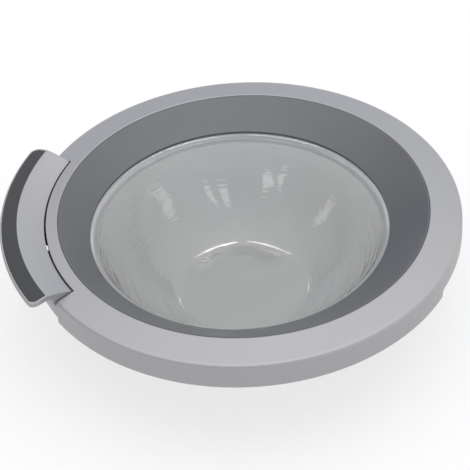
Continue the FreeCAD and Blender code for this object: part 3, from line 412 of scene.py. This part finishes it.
def screw_grid(x, y, head_top, length):
    """A pan-head screw, driven upwards, as one grid of rings. It is worked out in millimetres.

    The rings start in the cross recess, whose edge is a cross: at an angle from the nearest arm, the smaller
    of the arm's length over the cosine and its half width over the sine. They grow to the round head, go over
    its edge, along the shank with a thread that rises and falls as a saw tooth, and close in the point.
    """
    arm, half_width, recess = 2.0, 0.55, 1.5         # the cross: its arms' length and half width, its depth
    crown, rim, tall, rounding = 2.3, 3.6, 2.3, 1.5  # the head: radii, height, height of its rounding
    shank, pitch, thread = 1.55, 1.3, 0.5            # the shank: radius, thread's pitch and twice its depth
    tip = 0.8                                        # radius where the point starts
    length = length / MM
    turn = np.linspace(0, 2 * math.pi, 48, endpoint=False)
    off = np.abs((turn + math.pi / 4) % (math.pi / 2) - math.pi / 4)
    cross = np.minimum(arm / np.cos(off), half_width / np.maximum(np.sin(off), 1e-6))
    face = head_top / MM - tall
    seat = face + tall
    rows = [(0 * cross, face + recess), (cross * 0.55, face + recess - 0.1), (cross * 0.9, face + 0.15),
            (cross, face + 0.02)]
    rows += [(cross + (crown - cross) * share, face) for share in (0.35, 0.7, 1.0)]
    rows += [(crown + (rim - crown) * np.sin(bend) + 0 * turn, face + rounding * (1 - np.cos(bend)))
             for bend in np.linspace(0, math.pi / 2, 7)[1:]]
    rows += [(rim + 0 * turn, seat), (shank + 0 * turn, seat)]
    level = np.linspace(0.2, length - 2.2, 56)
    tooth = shank - thread * np.abs(((level[:, None] / pitch - turn / (2 * math.pi)) % 1) - 0.5)
    rows += [(ring, seat + rise) for ring, rise in zip(tooth, level)]
    rows += [(tip + 0 * turn, seat + length - tip), (0 * turn, seat + length)]
    radius = np.array([row[0] for row in rows])
    height = np.array([row[1] + 0 * turn for row in rows])
    return np.stack([x / MM + radius * np.cos(turn), y / MM + radius * np.sin(turn), height], axis=-1) * MM


def tube(path, radius, sides=14):
    """A round wire along a path: rings across the path's direction, closed to a point at both ends.

    The ring's first axis is a fixed slanting direction with its part along the path taken away.
    """
    slant = np.array([0.31, 0.52, 0.8])
    along = np.gradient(path, axis=0)
    along /= np.linalg.norm(along, axis=1, keepdims=True)
    first = slant - along * (along @ slant)[:, None]
    first /= np.linalg.norm(first, axis=1, keepdims=True)
    second = np.cross(along, first)
    turn = np.linspace(0, 2 * math.pi, sides, endpoint=False)
    ring = first[:, None] * np.cos(turn)[None, :, None] + second[:, None] * np.sin(turn)[None, :, None]
    rings = path[:, None] + ring * radius
    ends = [np.repeat(path[i][None, None], sides, axis=1) for i in (0, -1)]
    return np.concatenate([ends[0], rings, ends[1]])


def spring_path(node, side, foot):
    """A coil round the handle's pin: a helix of five turns, a leg down from its first end and one up from its
    last. Where a foot is given, the lower leg ends in a run of that length along the pin."""
    reach, start, pitch, turns = 3.9 * MM, 11.5 * MM, 1.6 * MM, 5
    low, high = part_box(node)
    turn = np.linspace(0, 2 * math.pi * turns, 241)
    coil = np.stack([PIN[0] - reach * np.cos(turn), side * (start + pitch * turn / (2 * math.pi)),
                     PIN[1] + reach * np.sin(turn)], axis=1)
    share = np.linspace(0, 1, 14)
    down = (low.z + WIRE if foot else low.z) - PIN[1]
    up = high.z - PIN[1]
    lower = coil[0] + np.outer(share[:0:-1], (0, 0, down))
    upper = coil[-1] + np.outer(share[1:], (0, 0, up))
    runs = [lower, coil, upper]
    if foot:
        runs.insert(0, lower[0] + np.outer(share[:0:-1], (0, -side * foot, 0)))
    return np.concatenate(runs)


# Camera, floor and light

def stand_camera():
    """The photo's camera, found from the ring edges: its height, tilt, roll and lens."""
    turn, rise, tilt, pan, roll = np.radians([-4.4, 40.18, 41.559, -0.559, -3.536])
    away = 1.3655
    sensor, focal, width = 36, 1299.8, 470     # millimetres, then pixels of the picture
    place = np.array([0, -away * math.cos(rise), away * math.sin(rise)])
    ahead = np.array([math.sin(pan) * math.cos(tilt), math.cos(pan) * math.cos(tilt), -math.sin(tilt)])
    right = np.array([math.cos(pan), -math.sin(pan), 0])
    up = np.cross(right, ahead)
    right, up = (right * math.cos(roll) + up * math.sin(roll), up * math.cos(roll) - right * math.sin(roll))
    spin = np.array([[math.cos(turn), -math.sin(turn), 0], [math.sin(turn), math.cos(turn), 0], [0, 0, 1]])
    pose = np.eye(4)
    pose[:3, :3] = spin @ np.stack([right, up, -ahead], axis=1)
    pose[:3, 3] = spin @ place + (AXIS, 0, EDGE)
    camera = bpy.data.objects.new("camera", bpy.data.cameras.new("camera"))
    camera.data.sensor_width = sensor
    camera.data.lens = sensor * focal / width
    camera.data.clip_end = 100
    bpy.context.scene.collection.objects.link(camera)
    camera.matrix_world = Matrix(pose.tolist())
    bpy.context.scene.camera = camera


GLOW = 0.67     # how white the floor looks before any light falls on it
ROOM = (        # how much brighter the room is towards a side: axis, sign, how gathered, colour, level
    ("Z", 1, 1, "#ffffff", 0.90),
    ("Z", 1, 4, "#ffffff", 0.72),
    ("Y", 1, 4, "#7a9cff", 0.22),
    ("Y", -1, 1, "#a4baff", 0.22),
    ("X", 1, 1, "#ffffff", 0.52),
    ("X", -1, 1, "#ffffff", 0.04),
)
LAMP_HEIGHT = 2.2
MIRRORED = (    # what the glass mirrors: name, x and y for each metre up, width, depth, power
    ("panel_right_a", (0.142, 0.247), 0.21, 0.80, 6.3),
    ("panel_right_b", (0.265, 0.320), 0.16, 0.80, 4.8),
    ("panel_left_a", (-0.150, 0.277), 0.16, 0.80, 4.8),
    ("panel_left_b", (-0.250, 0.350), 0.10, 0.80, 3.0),
    ("window_right_a", (0.14, -0.92), 0.28, 0.80, 1.5),
    ("window_right_b", (0.46, -0.95), 0.28, 0.80, 1.5),
    ("window_left_a", (-0.82, -1.18), 0.30, 0.90, 2.0),
    ("window_left_b", (-1.20, -1.18), 0.36, 0.90, 2.4),
    ("window_rear_right", (0.53, 1.34), 0.50, 0.60, 3.0),
    ("window_rear_left", (-0.45, 1.34), 0.50, 0.60, 3.0),
    ("window_hinge", (1.80, -0.70), 0.60, 1.60, 5.0),
    ("window_handle", (-1.90, 0.20), 0.60, 1.60, 5.0),
)


def looked_at(tree):
    """1 for a ray that the eye follows: from the camera, off a gloss or through glass."""
    ray = add(tree, "ShaderNodeLightPath").outputs
    straight = add(tree, "ShaderNodeMath", {0: ray["Is Camera Ray"], 1: ray["Is Transmission Ray"]},
                   operation="MAXIMUM")
    every = add(tree, "ShaderNodeMath", {0: straight.outputs[0], 1: ray["Is Glossy Ray"]},
                operation="MAXIMUM")
    return every.outputs[0]


def lay_floor():
    """A wide pale floor just under the bowl's flat end. It takes shade as any floor does and looks white."""
    half, level = 30.0, -0.4 * MM
    mesh = bpy.data.meshes.new("floor")
    mesh.from_pydata([(-half, -half, level), (half, -half, level), (half, half, level), (-half, half, level)],
                     [], [(0, 1, 2, 3)])
    floor = bpy.data.objects.new("floor", mesh)
    bpy.context.scene.collection.objects.link(floor)
    material, tree, _ = new_material("white_floor")
    glow = add(tree, "ShaderNodeMath", {0: looked_at(tree), 1: GLOW}, operation="MULTIPLY")
    shader = add(tree, "ShaderNodeBsdfPrincipled", {
        "Base Color": linear("#9e9e9e"), "Roughness": 0.9, "Specular IOR Level": 0.0,
        "Emission Color": linear("#ffffff"), "Emission Strength": glow.outputs[0]})
    add(tree, "ShaderNodeOutputMaterial", {"Surface": shader.outputs["BSDF"]})
    mesh.materials.append(material)


def hang_lamp(name, over, width, depth, power, lit):
    """A soft box overhead that faces the door and lights one collection."""
    lamp = bpy.data.lights.new(name, "AREA")
    lamp.shape = "RECTANGLE"
    lamp.size, lamp.size_y = width, depth
    lamp.energy = power
    item = bpy.data.objects.new(name, lamp)
    bpy.context.scene.collection.objects.link(item)
    place = Vector((over[0], over[1], 1.0)) * LAMP_HEIGHT
    item.location = place
    item.rotation_mode = "QUATERNION"
    item.rotation_quaternion = place.to_track_quat("Z", "Y")
    item.visible_camera = False
    item.light_linking.receiver_collection = lit


def set_light():
    """A pale room, brighter overhead. Where the floor ends, the room looks as white as the floor."""
    world = bpy.data.worlds.new("room")
    world.use_nodes = True
    tree = world.node_tree
    tree.nodes.clear()
    toward_ray = add(tree, "ShaderNodeTexCoord").outputs["Generated"]
    split = add(tree, "ShaderNodeSeparateXYZ", {"Vector": toward_ray})
    low = add(tree, "ShaderNodeMapRange", {
        "Value": split.outputs["Z"], "From Min": 0.03, "From Max": 0.2, "To Min": 1.0, "To Max": 0.0})
    white = add(tree, "ShaderNodeMath", {0: low.outputs["Result"], 1: looked_at(tree)}, operation="MULTIPLY")
    light = add(tree, "ShaderNodeBackground", {"Color": linear("#ffffff"), "Strength": white.outputs[0]})
    for axis, sign, gathered, colour, level in ROOM:
        toward = add(tree, "ShaderNodeMath", {0: split.outputs[axis], 1: float(sign)}, operation="MULTIPLY")
        above = add(tree, "ShaderNodeMath", {0: toward.outputs[0], 1: 0.0}, operation="MAXIMUM")
        drawn = add(tree, "ShaderNodeMath", {0: above.outputs[0], 1: float(gathered)}, operation="POWER")
        bright = add(tree, "ShaderNodeMath", {0: drawn.outputs[0], 1: level}, operation="MULTIPLY")
        side = add(tree, "ShaderNodeBackground", {"Color": linear(colour), "Strength": bright.outputs[0]})
        light = add(tree, "ShaderNodeAddShader", {0: light.outputs[0], 1: side.outputs[0]})
    add(tree, "ShaderNodeOutputWorld", {"Surface": light.outputs[0]})
    bpy.context.scene.world = world


bpy.context.scene.view_settings.view_transform = "Standard"
stand_camera()
lay_floor()
set_light()

# Finishes, put on every solid

finishes = {
    "silver_plastic": silver_painted_abs(),
    "bezel_plastic": flake_filled_dark_abs(),
    "bowl_glass": pressed_glass(),
    "rear_plastic": eroded_grey_polypropylene(),
    "grip_plastic": grained_dark_elastomer(),
    "zinc_plated_steel": bright_zinc_plating(),
    "pin_steel": ground_steel(),
    "spring_steel": drawn_spring_steel(),
    "cast_zinc": die_cast_zinc(),
    "bracket_steel": plated_steel_sheet(),
    "bush_plastic": natural_acetal(),
}
for row in frame["record"]["subparts"]:
    mesh = frame["nodes"][row["node"]].data
    mesh.materials.clear()
    mesh.materials.append(finishes[row["material_slot"]])

# The glass bowl and the lamps that it mirrors

bowl = make_piece("pressed_glass_bowl", [turned(bowl_profile(), 240)], "door", "bowl_glass", "glass_bowl")
glass = bpy.data.collections.new("glass")
glass.objects.link(bowl)
for lamp in MIRRORED:
    hang_lamp(*lamp, glass)

# Screws, each given by its place, the height of its head's upper side and its length under the head

rear_circle = 213 * MM
angle = np.radians([50, 70, 90, 110, 130, 230, 250, 270, 290, 310])
around = zip(AXIS + rear_circle * np.cos(angle), rear_circle * np.sin(angle))
make_piece("rear_screws", [screw_grid(x, y, 95.5 * MM, 14 * MM) for x, y in around],
           "door", "zinc_plated_steel", "frame_screws")
carrier_line = AXIS + 207 * MM
make_piece("carrier_screws", [screw_grid(carrier_line, y * MM, 113.5 * MM, 8 * MM) for y in (-38, 0, 38)],
           "door", "zinc_plated_steel", "hinge_screws")

# Springs

make_piece("return_spring", [tube(spring_path("handle_spring", 1, 0), WIRE)],
           "door", "spring_steel", "handle_spring", sharp=60)
make_piece("hook_return_spring", [tube(spring_path("hook_spring", -1, 9 * MM), WIRE)],
           "handle", "spring_steel", "hook_spring", sharp=60)
